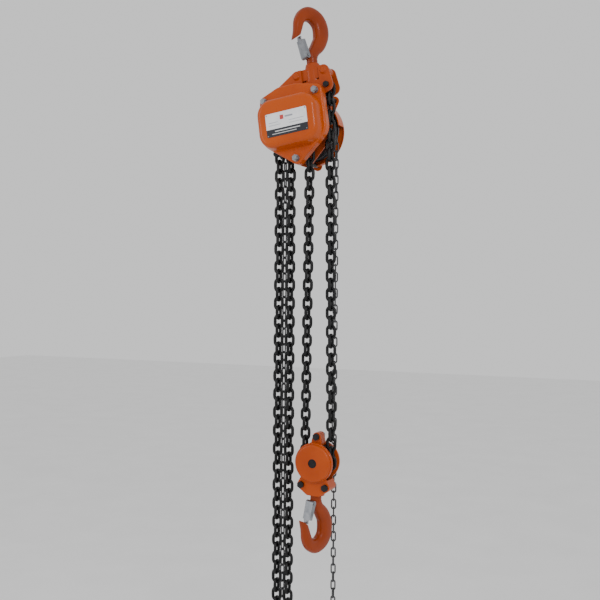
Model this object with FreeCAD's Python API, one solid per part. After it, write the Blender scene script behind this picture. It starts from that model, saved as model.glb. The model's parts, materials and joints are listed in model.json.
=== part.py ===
"""Hand chain hoist, two falls of load chain, hung from its top hook and carrying no load.

Row frame, millimetres: the origin is the bearing point of the top hook, +Z is up, +X is to the right
of the gear side and +Y runs from the gear cover back to the hand wheel. The hoist unit (frame, gears,
brake, yoke and top hook) is drawn upright and then leaned as one, because an unloaded hoist hangs with
its centre of mass under the hook. The chains and the hook block hang plumb.
"""

import FreeCAD
import Part

import math
import os

# ---- driving dimensions -------------------------------------------------------------------------
LEAN_DEG = 7.5  # how far the unloaded unit leans, its gear side going down to the left

LOAD_WIRE = 10.0  # load chain: wire, pitch and outer width of a link
LOAD_PITCH = 28.0
LOAD_WIDTH = 34.0
HAND_WIRE = 5.0  # hand chain: the same three
HAND_PITCH = 25.0
HAND_WIDTH = 17.0
LINK_CLEARANCE = 0.3  # taken off each wire's diameter, so that linked links don't overlap

AXIS_X, AXIS_Z = -62.0, -320.0  # drive axis, upright unit
STAYS = ((-146.0, -231.0), (22.0, -231.0), (-62.0, -420.0))  # the three stay bolts through the frame
STAY_R = 6.5
STAY_NUT_FLATS = 18.0
PLATE_INNER = 24.0  # side plates: half the gap between them, and their thickness
PLATE_THICK = 6.0
PLATE_OUTER = PLATE_INNER + PLATE_THICK
PIN_FIT = 0.1  # radial clearance of bolts in their holes, and of things that turn on a pin
BEARING_FIT = 0.06
YOKE_RIVET_X, YOKE_RIVET_Z = 44.0, -169.0
YOKE_RIVET_R = 9.0
YOKE_HALF = PLATE_INNER - 0.1
GUIDE_PINS = ((-2.5, -350.0), (-125.0, -350.0))  # rollers that keep the chain on the load sheave
GUIDE_PIN_R = 4.0
TAIL_SCREWS = ((-126.0, -366.0), (-114.0, -374.0))  # screws of the bracket for the slack chain's end
TAIL_SCREW_R = 2.5
CHEEK_INNER = 18.6  # that bracket's cheeks lie against the side plates

SHEAVE_POCKETS = 4
IDLER_POCKETS = 5
WHEEL_POCKETS = 11
WHEEL_Y = 75.0  # middle plane of the hand wheel

WHEEL_RIM_R = 90.0

GEAR_CENTRES = 44.0  # drive axis to each disc gear
PINION_TEETH, DISC_TEETH = 8, 56
SMALL_TEETH, LOAD_GEAR_TEETH = 8, 40
DRIVE_MODULE = 2 * GEAR_CENTRES / (PINION_TEETH + DISC_TEETH)
LOAD_MODULE = 2 * GEAR_CENTRES / (SMALL_TEETH + LOAD_GEAR_TEETH)
PINION_SHIFT = 0.5
LOAD_GEAR_Y = (-54.0, -36.0)
DISC_GEAR_Y = (-74.0, -60.0)
SHAFT_R = 8.5  # drive shaft: through the sheave, in the hand wheel's bore and at its threaded end
WHEEL_SEAT_R = 11.0
SHAFT_END_R = 6.0
WHEEL_SEAT_Y = (34.5, 88.0)
JOURNAL_R = 6.0  # disc gears' journals, and the bearings of the load sheave
SHEAVE_HUB_R = 22.0
SHEAVE_BEARING_R = 27.0
SPLINES = 8

HUB_DISC_Y = (35.0, 40.0)  # load brake, from the side plate back: hub, lining, ratchet disc, lining
FRONT_LINING_Y = (40.0, 43.0)
RATCHET_Y = (43.3, 50.0)
BACK_LINING_Y = (50.3, 53.3)
BRAKE_R = 46.0
HUB_R = 20.0
RATCHET_TEETH = 16
RATCHET_TIP, RATCHET_ROOT = 54.0, 48.0
PAWL_NOTCHES = (0.0, 90.0)  # direction of the notch that each pawl rests in
PAWL_PIVOT_R, PAWL_TRAIL_DEG = 74.0, 37.0
PAWL_PIN_R = 4.0

COVER_STEP_Y = -58.0  # gear cover: its stepped rim with the nuts, and the front of its bulge
COVER_FRONT_Y = -98.0
COVER_WALL = 3.0
BEARING_PLATE_Y = (COVER_FRONT_Y + COVER_WALL, COVER_FRONT_Y + COVER_WALL + 7.0)
BULGE_X, BULGE_Z = -66.0, -310.0
LABEL_X, LABEL_Z = -63.3, -318.0
LABEL_HALF_X, LABEL_HALF_Z = 67.0, 35.0
WHEEL_COVER_Y = 97.0  # hand wheel cover: face of its lugs, back of its cup, and its outer radius
WHEEL_COVER_BACK = 105.0
WHEEL_COVER_R = 104.0

# hook frame: the bearing point is the origin, the hook opens to -X and its shank points down
SHANK_FACE = -134.0  # outer face of the yoke or block that the shank turns in
HOOK_BOWL_R = 22.0
SHANK_R = 17.0
NECK_R, NECK_BORE_R = 13.0, 13.3
SWIVEL_NUT_R, SWIVEL_BORE_R = 20.0, 20.8
NUT_THREAD_R = 11.0
LATCH_PIVOT = (-21.5, -111.0)
LATCH_TIP = (-42.3, -52.8)
LATCH_HALF, LATCH_WALL = 14.0, 2.0
LATCH_PIN_R = 3.0

BLOCK_X = 44.7  # hook block: middle of its sheave
BLOCK_LEAN_DEG = 2.4  # the block hangs this much askew, its hook towards -X
BLOCK_BOTTOM = -100.0  # under face, from the middle of its sheave
BLOCK_BOLTS = ((0.0, 77.0), (-39.0, -70.0), (39.0, -70.0))
BLOCK_BOLT_FACES = (17.0, 27.0, 27.0)  # half the width that each of these bolts clamps
BLOCK_GAP = 24.8  # half the gap inside the block, and half its width over its walls and its round faces
BLOCK_WALL_Y = 34.0
BLOCK_FACE_Y = 42.0
BLOCK_JOINT = 0.15  # half the gap between the two cheeks
BLOCK_BOLT_R = 6.0
BLOCK_NUT_FLATS = 19.0
AXLE_R, BUSH_R = 10.0, 13.0
COLLAR_R, COLLAR_SEAT_Y = 13.3, 39.0
PIN_R = 6.0  # pins that hold the two ends of the load chain

RIGHT_FALL_PAIRS = 20  # pairs of links in each straight run of chain
LEFT_FALL_PAIRS = 17
SLACK_PAIRS = 27
HAND_PAIRS = 30
HAND_BEND = (2.0, 3.0, 4.5, 6.0, 8.0, 11.0, 15.0, 22.0, 36.0, 62.0)  # half its bottom bend, from straight

TOP_HOOK_TURN = 61.5  # swivel of each hook's opening from -X towards -Y
LOAD_HOOK_TURN = 72.5

OUT = "parts"
Y_AXIS = FreeCAD.Vector(0, 1, 0)
Z_AXIS = FreeCAD.Vector(0, 0, 1)


# ---- small helpers ------------------------------------------------------------------------------
def vec(x, y, z):
    return FreeCAD.Vector(x, y, z)


def polar(radius, degrees, x=0.0, z=0.0):
    """A point (x, z) at a radius and angle in the XZ plane, 0 along +X and 90 along +Z."""
    a = math.radians(degrees)
    return x + radius * math.cos(a), z + radius * math.sin(a)


def leaned(x, z):
    """Where the upright unit's point (x, z) is once the unit leans."""
    c, s = math.cos(math.radians(LEAN_DEG)), math.sin(math.radians(LEAN_DEG))
    return x * c - z * s, x * s + z * c


def upright(x, z):
    """The other way: a point of the row frame, in the upright unit."""
    c, s = math.cos(math.radians(LEAN_DEG)), math.sin(math.radians(LEAN_DEG))
    return x * c + z * s, -x * s + z * c


def cyl(radius, y0, y1, x=AXIS_X, z=AXIS_Z):
    """A cylinder along Y."""
    return Part.makeCylinder(radius, y1 - y0, vec(x, y0, z), Y_AXIS)


def ring(outer, inner, y0, y1, x=AXIS_X, z=AXIS_Z):
    return cyl(outer, y0, y1, x, z).cut(cyl(inner, y0 - 1, y1 + 1, x, z))


def post(radius, z0, z1, x=0.0, y=0.0):
    """A cylinder along Z."""
    return Part.makeCylinder(radius, z1 - z0, vec(x, y, z0), Z_AXIS)


def box(x0, x1, y0, y1, z0, z1):
    return Part.makeBox(x1 - x0, y1 - y0, z1 - z0, vec(x0, y0, z0))


def hexagon(across_flats, y0, y1, x, z):
    corners = [polar(across_flats / math.sqrt(3), 60 * i + 30, x, z) for i in range(7)]
    face = Part.Face(Part.makePolygon([vec(cx, y0, cz) for cx, cz in corners]))
    return face.extrude(vec(0, y1 - y0, 0))


def nut(across_flats, hole, y0, y1, x, z):
    """A hexagon nut with its corners rounded off by a cone on the side that shows."""
    rough = hexagon(across_flats, y0, y1, x, z)
    corner = across_flats / math.sqrt(3)
    height = y1 - y0
    cone = Part.makeCone(corner + height * 0.9, corner * 0.93, height, vec(x, y1, z), vec(0, -1, 0))
    return rough.common(cone).cut(cyl(hole, y0 - 1, y1 + 1, x, z))


def mirror_y(shape):
    return shape.mirror(vec(0, 0, 0), Y_AXIS)


def belt(circles, y0, y1):
    """A plate along Y, its outline a belt round circles (x, z, r), listed anticlockwise from the front."""
    count = len(circles)
    tangents = []
    for i in range(count):
        x0, z0, r0 = circles[i]
        x1, z1, r1 = circles[(i + 1) % count]
        dx, dz = x1 - x0, z1 - z0
        length = math.hypot(dx, dz)
        dx, dz = dx / length, dz / length
        lean = (r0 - r1) / length
        square = math.sqrt(1 - lean * lean)
        nx, nz = square * dz + lean * dx, -square * dx + lean * dz
        tangents.append(((x0 + r0 * nx, z0 + r0 * nz), (x1 + r1 * nx, z1 + r1 * nz), (nx, nz)))
    edges = []
    for i in range(count):
        start, end, normal = tangents[i]
        next_start, _, next_normal = tangents[(i + 1) % count]
        edges.append(Part.LineSegment(vec(start[0], y0, start[1]), vec(end[0], y0, end[1])).toShape())
        x, z, r = circles[(i + 1) % count]
        facing = math.atan2(normal[1], normal[0])
        sweep = (math.atan2(next_normal[1], next_normal[0]) - facing) % (2 * math.pi)
        if sweep * r > 1e-3:
            mx, mz = polar(r, math.degrees(facing + sweep / 2), x, z)
            ends = vec(end[0], y0, end[1]), vec(next_start[0], y0, next_start[1])
            edges.append(Part.Arc(ends[0], vec(mx, y0, mz), ends[1]).toShape())
    return Part.Face(Part.Wire(Part.__sortEdges__(edges))).extrude(vec(0, y1 - y0, 0))


def fused(shapes):
    first, *others = shapes
    return first.fuse(others).removeSplitter() if others else first


def cut_all(shape, tools):
    return shape.cut(Part.makeCompound(tools))


def edge_middle(edge):
    return edge.valueAt((edge.FirstParameter + edge.LastParameter) / 2)


def edge_at(y):
    """A test that an edge's middle point lies in the plane at y."""
    return lambda middle: abs(middle.y - y) < 0.05


def softened(shape, radius, test):
    """The shape with the edges whose middle point passes a test rounded, as far as the kernel allows."""
    chosen = [edge for edge in shape.Edges if test(edge_middle(edge))]
    for size in (radius, radius * 0.7, radius * 0.4):
        try:
            done = shape.makeFillet(size, chosen)
            if done.isValid() and done.Volume > 0:
                return done
        except (Part.OCCError, RuntimeError):
            continue
    return shape


def lean_unit(shape):
    done = shape.copy()
    done.rotate(vec(0, 0, 0), Y_AXIS, -LEAN_DEG)
    return done


def save(name, shapes, unit=True):
    """Writes one node. Nodes of the leaning unit are drawn upright and turned here."""
    shapes = shapes if isinstance(shapes, list) else [shapes]
    solids = [s for shape in shapes for s in shape.Solids]
    placed = [lean_unit(s) if unit else s for s in solids]
    bad = [i for i, s in enumerate(placed) if not s.isValid() or s.Volume <= 0]
    if bad:
        print("WARNING", name, "bad solids", bad)
    whole = placed[0] if len(placed) == 1 else Part.makeCompound(placed)
    whole.exportStep(os.path.join(OUT, name + ".step"))


# ---- chain --------------------------------------------------------------------------------------
# Links alternate: one stands in the XZ plane, the next lies flat across it. All bending is about the
# crowns of the flat links, so a run is a line of crown points, a pitch less one wire apart along a
# standing link and a pitch plus one wire apart along a flat one.
def link_solid(wire, pitch, width):
    """One link round the origin: its length along Z, in the XZ plane."""
    bend = (width - wire) / 2
    half = (pitch + wire) / 2 - bend
    turn_top = Part.Arc(vec(bend, 0, half), vec(0, 0, half + bend), vec(-bend, 0, half))
    turn_low = Part.Arc(vec(-bend, 0, -half), vec(0, 0, -half - bend), vec(bend, 0, -half))
    path = Part.Wire([
        turn_top.toShape(),
        Part.LineSegment(vec(-bend, 0, half), vec(-bend, 0, -half)).toShape(),
        turn_low.toShape(),
        Part.LineSegment(vec(bend, 0, -half), vec(bend, 0, half)).toShape(),
    ])
    section = Part.Wire(Part.makeCircle((wire - LINK_CLEARANCE) / 2, vec(bend, 0, half), Z_AXIS))
    return path.makePipeShell([section], True, False)


def laid_links(link, crowns, y, stands):
    """Links from crown to crown, (x, z) points at depth y; the first one stands or lies flat."""
    placed = []
    for (x0, z0), (x1, z1) in zip(crowns, crowns[1:]):
        turn = FreeCAD.Rotation(Z_AXIS, 0 if stands else 90)
        along = FreeCAD.Rotation(Z_AXIS, vec(x1 - x0, 0, z1 - z0))
        copy = link.copy()
        copy.Placement = FreeCAD.Placement(vec((x0 + x1) / 2, y, (z0 + z1) / 2), along.multiply(turn))
        placed.append(copy)
        stands = not stands
    return placed


def wheel_radius(wire, pitch, pockets):
    """Radius on which the crowns lie on a wheel with this many pockets."""
    half = math.radians(90.0 / pockets)
    return math.hypot(pitch / math.sin(half), wire / math.cos(half)) / 2


def wheel_reach(wire, pitch, pockets, stands):
    """Distance from the wheel's axis to the middle line of a link on it."""
    side = pitch - wire if stands else pitch + wire
    return math.sqrt(wheel_radius(wire, pitch, pockets) ** 2 - side * side / 4)


def on_wheel(wire, pitch, pockets, centre, first_deg, direction, count, stands):
    """Crowns of a run wrapped on a wheel; its first link's middle is at first_deg."""
    radius = wheel_radius(wire, pitch, pockets)
    sides = {True: pitch - wire, False: pitch + wire}
    turns = {s: 2 * direction * math.degrees(math.asin(side / 2 / radius)) for s, side in sides.items()}
    at = first_deg - turns[stands] / 2
    crowns = [polar(radius, at, *centre)]
    for _ in range(count):
        at += turns[stands]
        crowns.append(polar(radius, at, *centre))
        stands = not stands
    return crowns


def chain_run(start, wire, pitch, angles, stands):
    """Crowns from a start, each link at its angle from straight down, positive towards +X."""
    crowns = [start]
    for angle in angles:
        side = pitch - wire if stands else pitch + wire
        x, z = crowns[-1]
        a = math.radians(angle)
        crowns.append((x + side * math.sin(a), z - side * math.cos(a)))
        stands = not stands
    return crowns


def load_run(start, angle, count, stands):
    return chain_run(start, LOAD_WIRE, LOAD_PITCH, [angle] * count, stands)


SHEAVE = leaned(AXIS_X, AXIS_Z)
SHEAVE_FLAT = wheel_reach(LOAD_WIRE, LOAD_PITCH, SHEAVE_POCKETS, False)
IDLER_STAND = wheel_reach(LOAD_WIRE, LOAD_PITCH, IDLER_POCKETS, True)
IDLER_FLAT = wheel_reach(LOAD_WIRE, LOAD_PITCH, IDLER_POCKETS, False)
FLAT_HALF = (LOAD_PITCH + LOAD_WIRE) / 2
STAND_HALF = (LOAD_PITCH - LOAD_WIRE) / 2

# the left fall hangs from the load sheave and sets the block's height, the right one sets the anchor's
LEFT_FALL_TOP = (SHEAVE[0] + SHEAVE_FLAT, SHEAVE[1] - FLAT_HALF)
LEFT_FALL_LENGTH = LEFT_FALL_PAIRS * 2 * LOAD_PITCH + 2 * STAND_HALF
LEFT_FALL_DEG = math.degrees(math.asin((BLOCK_X - IDLER_FLAT - LEFT_FALL_TOP[0]) / LEFT_FALL_LENGTH))
BLOCK_Z = LEFT_FALL_TOP[1] - LEFT_FALL_LENGTH * math.cos(math.radians(LEFT_FALL_DEG)) - FLAT_HALF
RIGHT_FALL_LOW = (BLOCK_X + IDLER_STAND, BLOCK_Z + STAND_HALF)
RIGHT_FALL_DEG = 0.66
RIGHT_FALL_LENGTH = RIGHT_FALL_PAIRS * 2 * LOAD_PITCH
ANCHOR_CROWN = (
    RIGHT_FALL_LOW[0] - RIGHT_FALL_LENGTH * math.sin(math.radians(RIGHT_FALL_DEG)),
    RIGHT_FALL_LOW[1] + RIGHT_FALL_LENGTH * math.cos(math.radians(RIGHT_FALL_DEG)),
)
ANCHOR = upright(ANCHOR_CROWN[0], ANCHOR_CROWN[1] - PIN_R + LOAD_WIRE / 2)

STRIPPER = upright(SHEAVE[0], SHEAVE[1] - 61.0)  # the finger that lifts the chain out of the sheave
SLACK_TOP = (SHEAVE[0] - SHEAVE_FLAT, SHEAVE[1] - FLAT_HALF)
TAIL_CROWN = (SLACK_TOP[0] - 2 * FLAT_HALF, SLACK_TOP[1] - 2 * LOAD_PITCH)
TAIL = upright(TAIL_CROWN[0], TAIL_CROWN[1] - PIN_R + LOAD_WIRE / 2)

PAWL_PIVOTS = tuple(polar(PAWL_PIVOT_R, a + PAWL_TRAIL_DEG, AXIS_X, AXIS_Z) for a in PAWL_NOTCHES)


def save_chain(name, link, runs, y):
    """Writes a chain node from its runs, each a list of crowns and whether its first link stands."""
    links = [piece for crowns, stands in runs for piece in laid_links(link, crowns, y, stands)]
    save(name, links, unit=False)


def load_chain():
    link = link_solid(LOAD_WIRE, LOAD_PITCH, LOAD_WIDTH)
    size = (LOAD_WIRE, LOAD_PITCH)
    block = (BLOCK_X, BLOCK_Z)
    right = load_run(ANCHOR_CROWN, RIGHT_FALL_DEG, 2 * RIGHT_FALL_PAIRS, True)
    under = on_wheel(*size, IDLER_POCKETS, block, 0.0, -1, 6, True)
    left = load_run(LEFT_FALL_TOP, LEFT_FALL_DEG, 2 * LEFT_FALL_PAIRS + 1, True)
    over = on_wheel(*size, SHEAVE_POCKETS, SHEAVE, 0.0, 1, 5, False)
    inner = load_run(SLACK_TOP, 0.0, 2 * SLACK_PAIRS, True)
    bend = chain_run(inner[-1], *size, (0.0, -90.0, -180.0), True)
    outer = load_run(bend[-1], 180.0, 2 * SLACK_PAIRS - 2, False)
    nodes = {
        "load_chain_right_fall": [(right, True)],
        "load_chain_under_idler": [(under, True)],
        "load_chain_left_fall": [(left, True), (over, False)],
        "load_chain_slack": [(inner, True), (outer, False)],
        "load_chain_slack_bend": [(bend, True)],
    }
    for name, runs in nodes.items():
        save_chain(name, link, runs, 0)


def hand_chain_bend(start, end):
    """The hand chain's bottom bend, its angles stretched and turned so that it ends at the other strand."""
    target = math.hypot(end[0] - start[0], end[1] - start[1])
    low, high = 0.4, 1.45
    for _ in range(50):
        scale = (low + high) / 2
        half = [a * scale for a in HAND_BEND]
        angles = half + [180.0 - a for a in reversed(half)]
        crowns = chain_run(start, HAND_WIRE, HAND_PITCH, angles, True)
        reach = math.hypot(crowns[-1][0] - start[0], crowns[-1][1] - start[1])
        low, high = (low, scale) if reach > target else (scale, high)
    tilt = math.atan2(end[1] - start[1], end[0] - start[0])
    tilt -= math.atan2(crowns[-1][1] - start[1], crowns[-1][0] - start[0])
    return chain_run(start, HAND_WIRE, HAND_PITCH, [a + math.degrees(tilt) for a in angles], True)


def hand_chain():
    link = link_solid(HAND_WIRE, HAND_PITCH, HAND_WIDTH)
    size = (HAND_WIRE, HAND_PITCH)
    over = on_wheel(*size, WHEEL_POCKETS, SHEAVE, 0.0, 1, WHEEL_POCKETS + 1, True)
    left = chain_run(over[-1], *size, [0.0] * 2 * HAND_PAIRS, True)
    right = chain_run(over[0], *size, [0.0] * 2 * HAND_PAIRS, False)
    bend = hand_chain_bend(left[-1], right[-1])
    save_chain("hand_chain", link, ((over, True), (left, True), (right, False), (bend, True)), WHEEL_Y)


# ---- pocket wheels ------------------------------------------------------------------------------
def pocket_wheel(wire, pitch, width, pockets, rim, half_width, middle_y, first_pocket_deg, x, z):
    """A chain wheel's rim with a groove for standing links and a pocket for every link that lies flat."""
    gap = 0.8
    flat = wheel_reach(wire, pitch, pockets, False)
    stand = wheel_reach(wire, pitch, pockets, True)
    blank = cyl(rim, middle_y - half_width, middle_y + half_width, x, z)
    blank = softened(blank, wire * 0.25, lambda middle: True)
    half = wire / 2 + gap
    blank = blank.cut(ring(rim + 5, stand - width / 2 - gap, middle_y - half, middle_y + half, x, z))
    end_r = width / 2 + gap
    reach = (pitch + 2 * wire) / 2 - width / 2
    floor = flat - wire / 2 - gap
    top = rim + 5
    for i in range(pockets):
        slot = box(-reach, reach, -end_r, end_r, floor, top)
        tool = slot.fuse([post(end_r, floor, top, -reach), post(end_r, floor, top, reach)])
        tool.rotate(vec(0, 0, 0), Y_AXIS, 90 - first_pocket_deg - 360.0 / pockets * i)
        tool.translate(vec(x, middle_y, z))
        blank = blank.cut(tool)
    return blank


# ---- gears --------------------------------------------------------------------------------------
def tooth_face(teeth, module, shift, first_deg, x, z, y):
    """A spur gear's face with 20 degree involute teeth; a tooth is centred on first_deg."""
    pressure = math.radians(20.0)
    pitch_r = module * teeth / 2
    base_r = pitch_r * math.cos(pressure)
    tip_r = pitch_r + module * (0.9 + shift)
    root_r = pitch_r - module * (1.25 - shift)
    half = (math.pi / 2 + 2 * shift * math.tan(pressure) - 0.1) * module / 2 / pitch_r
    involute = math.tan(pressure) - pressure

    def flank_angle(r):
        p = math.acos(min(1.0, base_r / r))
        return half + involute - (math.tan(p) - p)

    low_r = max(base_r, root_r)
    mid_r = (low_r + tip_r) / 2
    edges = []
    spacing = 2 * math.pi / teeth

    def point(r, angle):
        return vec(x + r * math.cos(angle), y, z + r * math.sin(angle))

    for i in range(teeth):
        c = math.radians(first_deg) + spacing * i
        low, mid, tip = flank_angle(low_r), flank_angle(mid_r), flank_angle(tip_r)
        if root_r < base_r:
            edges.append(Part.LineSegment(point(root_r, c - low), point(low_r, c - low)).toShape())
        rising = point(low_r, c - low), point(mid_r, c - mid), point(tip_r, c - tip)
        crest = point(tip_r, c - tip), point(tip_r, c), point(tip_r, c + tip)
        falling = point(tip_r, c + tip), point(mid_r, c + mid), point(low_r, c + low)
        edges += [Part.Arc(*arc).toShape() for arc in (rising, crest, falling)]
        if root_r < base_r:
            edges.append(Part.LineSegment(point(low_r, c + low), point(root_r, c + low)).toShape())
        gap_middle = c + spacing / 2
        root = point(root_r, c + low), point(root_r, gap_middle), point(root_r, c + spacing - low)
        edges.append(Part.Arc(*root).toShape())
    return Part.Face(Part.Wire(edges))


def gear(teeth, module, shift, first_deg, y0, y1, x=AXIS_X, z=AXIS_Z):
    return tooth_face(teeth, module, shift, first_deg, x, z, y0).extrude(vec(0, y1 - y0, 0))


def keyway(count, inner, outer, half, y0, y1):
    """Straight splines round the drive axis."""
    keys = []
    for i in range(count):
        key = box(-half, half, y0, y1, inner, outer)
        key.rotate(vec(0, 0, 0), Y_AXIS, 360.0 / count * i)
        key.translate(vec(AXIS_X, 0, AXIS_Z))
        keys.append(key)
    return keys


def drive_shaft():
    """Pinion, long journal through the load sheave, seat of the brake and hand wheel, and threaded end."""
    pinion_front, pinion_back, journal = DISC_GEAR_Y[0] - 2.0, -57.0, 4.0
    shaft = fused([
        cyl(journal, BEARING_PLATE_Y[0] + 1.0, pinion_front),
        gear(PINION_TEETH, DRIVE_MODULE, PINION_SHIFT, 0, pinion_front, pinion_back),
        cyl(journal + 0.3, pinion_back, LOAD_GEAR_Y[0]),
        cyl(SHAFT_R, LOAD_GEAR_Y[0], WHEEL_SEAT_Y[0]),
        cyl(WHEEL_SEAT_R, *WHEEL_SEAT_Y),
        cyl(SHAFT_END_R, WHEEL_SEAT_Y[1], WHEEL_SEAT_Y[1] + 13.0),
    ])
    split_pin_hole = post(1.6, AXIS_Z - 15, AXIS_Z + 15, AXIS_X, WHEEL_SEAT_Y[1] + 11.5)
    return shaft.cut(split_pin_hole)


def load_gear():
    wheel = gear(LOAD_GEAR_TEETH, LOAD_MODULE, -PINION_SHIFT, 0, *LOAD_GEAR_Y)
    holes = [cyl(4.0, -60, -30, *polar(25.0, 45.0 * i, AXIS_X, AXIS_Z)) for i in range(8)]
    splines = keyway(SPLINES, 14.0, 18.4, 1.7, LOAD_GEAR_Y[0] - 1, LOAD_GEAR_Y[1] + 1)
    return cut_all(wheel, [cyl(16.3, -70, 0), *holes, *splines])


def load_sheave():
    """The pocketed drum with a hollow hub that runs in both side plates and carries the load gear."""
    chain = (LOAD_WIRE, LOAD_PITCH, LOAD_WIDTH)
    drum = pocket_wheel(*chain, SHEAVE_POCKETS, 43.0, 22.8, 0.0, -LEAN_DEG, AXIS_X, AXIS_Z)
    hub = [cyl(16.0, -56.5, -35.0), cyl(SHEAVE_HUB_R, -35.0, -22.0), cyl(SHEAVE_HUB_R, 22.0, 33.5)]
    keys = keyway(SPLINES, 14.0, 18.0, 1.4, *LOAD_GEAR_Y)
    whole = fused([drum, *hub, *keys])
    clip_groove = ring(20, 14.8, -56.0, -54.4)
    return whole.cut(clip_groove).cut(cyl(SHAFT_R + 0.5, -80, 60))


def disc_gear(side):
    x = AXIS_X + side * GEAR_CENTRES
    facing = 180.0 if side > 0 else 0.0
    wheel = gear(DISC_TEETH, DRIVE_MODULE, -PINION_SHIFT, facing + 180.0 / DISC_TEETH, *DISC_GEAR_Y, x=x)
    dish = ring(31.0, 13.0, DISC_GEAR_Y[0] - 1, DISC_GEAR_Y[0] + 4.0, x)
    holes = [cyl(5.5, -90, -50, *polar(22.0, 60 * i, x, AXIS_Z)) for i in range(6)]
    wheel = cut_all(wheel.cut(dish), holes)
    small = gear(SMALL_TEETH, LOAD_MODULE, PINION_SHIFT, facing + 180.0 / SMALL_TEETH, -62.0, -36.0, x=x)
    back = cyl(JOURNAL_R, -36.0, -PLATE_INNER - 1.0, x)
    front = cyl(JOURNAL_R, BEARING_PLATE_Y[0] + 1.0, DISC_GEAR_Y[0], x)
    return fused([wheel, small, back, front])


def gear_train():
    save("drive_shaft", drive_shaft())
    save("load_gear", load_gear())
    save("load_sheave", load_sheave())
    slot = box(AXIS_X - 3, AXIS_X + 3, -60, -50, AXIS_Z, AXIS_Z + 40)
    save("load_gear_clip", ring(19.0, 14.9, -55.9, -54.5).cut(slot))
    save("disc_gear_right", disc_gear(1))
    save("disc_gear_left", disc_gear(-1))


# ---- hooks --------------------------------------------------------------------------------------
def hook_stations():
    """(x, z, direction in degrees, radial half size, lateral half size) along the hook's middle line."""
    back = [
        (0.0, -116.0, 90.0, SHANK_R, SHANK_R),
        (3.0, -104.0, 66.0, 17.4, 16.8),
        (17.5, -86.0, 50.0, 19.2, 17.0),
        (36.5, -62.5, 62.0, 22.5, 17.6),
        (44.0, -46.0, 78.0, 24.3, 18.0),
    ]
    bowl_sizes = ((26.0, 18.0), (26.0, 18.0), (24.5, 17.6), (22.0, 17.0), (18.3, 16.0), (15.8, 14.8))
    bowl = []
    for angle, (radial, lateral) in zip((2.0, 30.0, 60.0, 90.0, 120.0, 150.0), bowl_sizes):
        x, z = polar(HOOK_BOWL_R + radial, angle, -1.0, -HOOK_BOWL_R)
        bowl.append((x, z, angle + 90.0, radial, lateral))
    tip = [
        (-41.0, -23.2, 246.0, 14.2, 12.8),
        (-46.2, -40.0, 246.0, 12.3, 11.5),
        (-50.7, -53.1, 250.0, 12.0, 10.5),
        (-55.7, -68.1, 250.0, 12.0, 9.5),
    ]
    return back + bowl + tip


def section_wire(x, z, direction, radial, lateral):
    """A rounded section square to the hook's middle line, a little flatter on the sides than an ellipse."""
    a = math.radians(direction)
    outward = vec(math.sin(a), 0, -math.cos(a))
    count = 16
    points = []
    for i in range(count):
        t = 2 * math.pi * i / count
        c, s = math.cos(t), math.sin(t)
        u = math.copysign(abs(c) ** 0.76, c) * radial
        v = math.copysign(abs(s) ** 0.76, s) * lateral
        points.append(vec(x, 0, z) + outward * u + vec(0, v, 0))
    curve = Part.BSplineCurve()
    curve.interpolate(points, PeriodicFlag=True)
    return Part.Wire(curve.toShape())


def hook_body():
    """The forged hook in its plane, opening to -X, its bearing point at the origin and its shank down."""
    body = Part.makeLoft([section_wire(*s) for s in hook_stations()], True, False)
    tip_end = box(-8.0, 60.0, -30.0, 30.0, 0.0, 30.0)
    tip_end.rotate(vec(0, 0, 0), Y_AXIS, 147.2)
    tip_end.translate(vec(-35.0, 0, -46.0))
    tip_corner = box(-12.0, 12.0, -30.0, 30.0, 0.0, 12.0)
    tip_corner.rotate(vec(0, 0, 0), Y_AXIS, 217.8)
    tip_corner.translate(vec(-64.1, 0, -63.0))
    body = body.cut(tip_end).cut(tip_corner)
    px, pz = LATCH_PIVOT
    ear_r, ear_half = 6.5, 11.0
    ear = cyl(ear_r, -ear_half, ear_half, px, pz)
    ear = ear.fuse(box(px, 0.0, -ear_half, ear_half, pz - ear_r, pz + ear_r))
    slot = box(px - 10, px + 7.5, -3.8, 3.8, pz - 10, pz + 10)
    shank = [
        post(SHANK_R - 0.2, SHANK_FACE + 1.0, -115.5),
        post(NECK_R, -150.0, SHANK_FACE + 2.0),
        post(NUT_THREAD_R, -169.0, -149.0),
    ]
    whole = fused([body, *shank, ear.cut(slot)])
    spring_room = cyl(6.0, -3.8, 3.8, px, pz)
    return whole.cut(spring_room).cut(cyl(LATCH_PIN_R + 0.15, -30, 30, px, pz))


def swivel_nut():
    """Round nut on the shank's end, with four slots."""
    nut_body = post(SWIVEL_NUT_R, -165.0, -151.0).cut(post(NUT_THREAD_R + 0.05, -175, -140))
    slots = []
    for i in range(4):
        slot = box(16.0, 22.0, -3.0, 3.0, -170.0, -157.0)
        slot.rotate(vec(0, 0, 0), Z_AXIS, 90.0 * i)
        slots.append(slot)
    return cut_all(nut_body, slots)


def swivel_bearing():
    """Thrust washers and the balls between them, under the nut."""
    parts = [post(SWIVEL_NUT_R, z, z + 0.9).cut(post(NECK_R + 1.0, -175, -130)) for z in (-147.4, -150.8)]
    for i in range(18):
        x, y = 17.0 * math.cos(math.radians(20 * i)), 17.0 * math.sin(math.radians(20 * i))
        parts.append(Part.makeSphere(1.12, vec(x, y, -148.65)))
    return parts


def latch_turn():
    """Angle of the closed latch from +X, and its length from the hinge to its tip's outer corner."""
    dx, dz = LATCH_TIP[0] - LATCH_PIVOT[0], LATCH_TIP[1] - LATCH_PIVOT[1]
    rise = 9.0
    length = math.sqrt(dx * dx + dz * dz - rise * rise)
    return math.degrees(math.atan2(dz, dx)) - math.degrees(math.atan2(rise, length)), length


def turned_latch(shape):
    """A shape drawn with the latch's hinge at the origin and its length along +X, closed in place."""
    done = shape.copy()
    done.rotate(vec(0, 0, 0), Y_AXIS, -latch_turn()[0])
    done.translate(vec(LATCH_PIVOT[0], 0, LATCH_PIVOT[1]))
    return done


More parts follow.
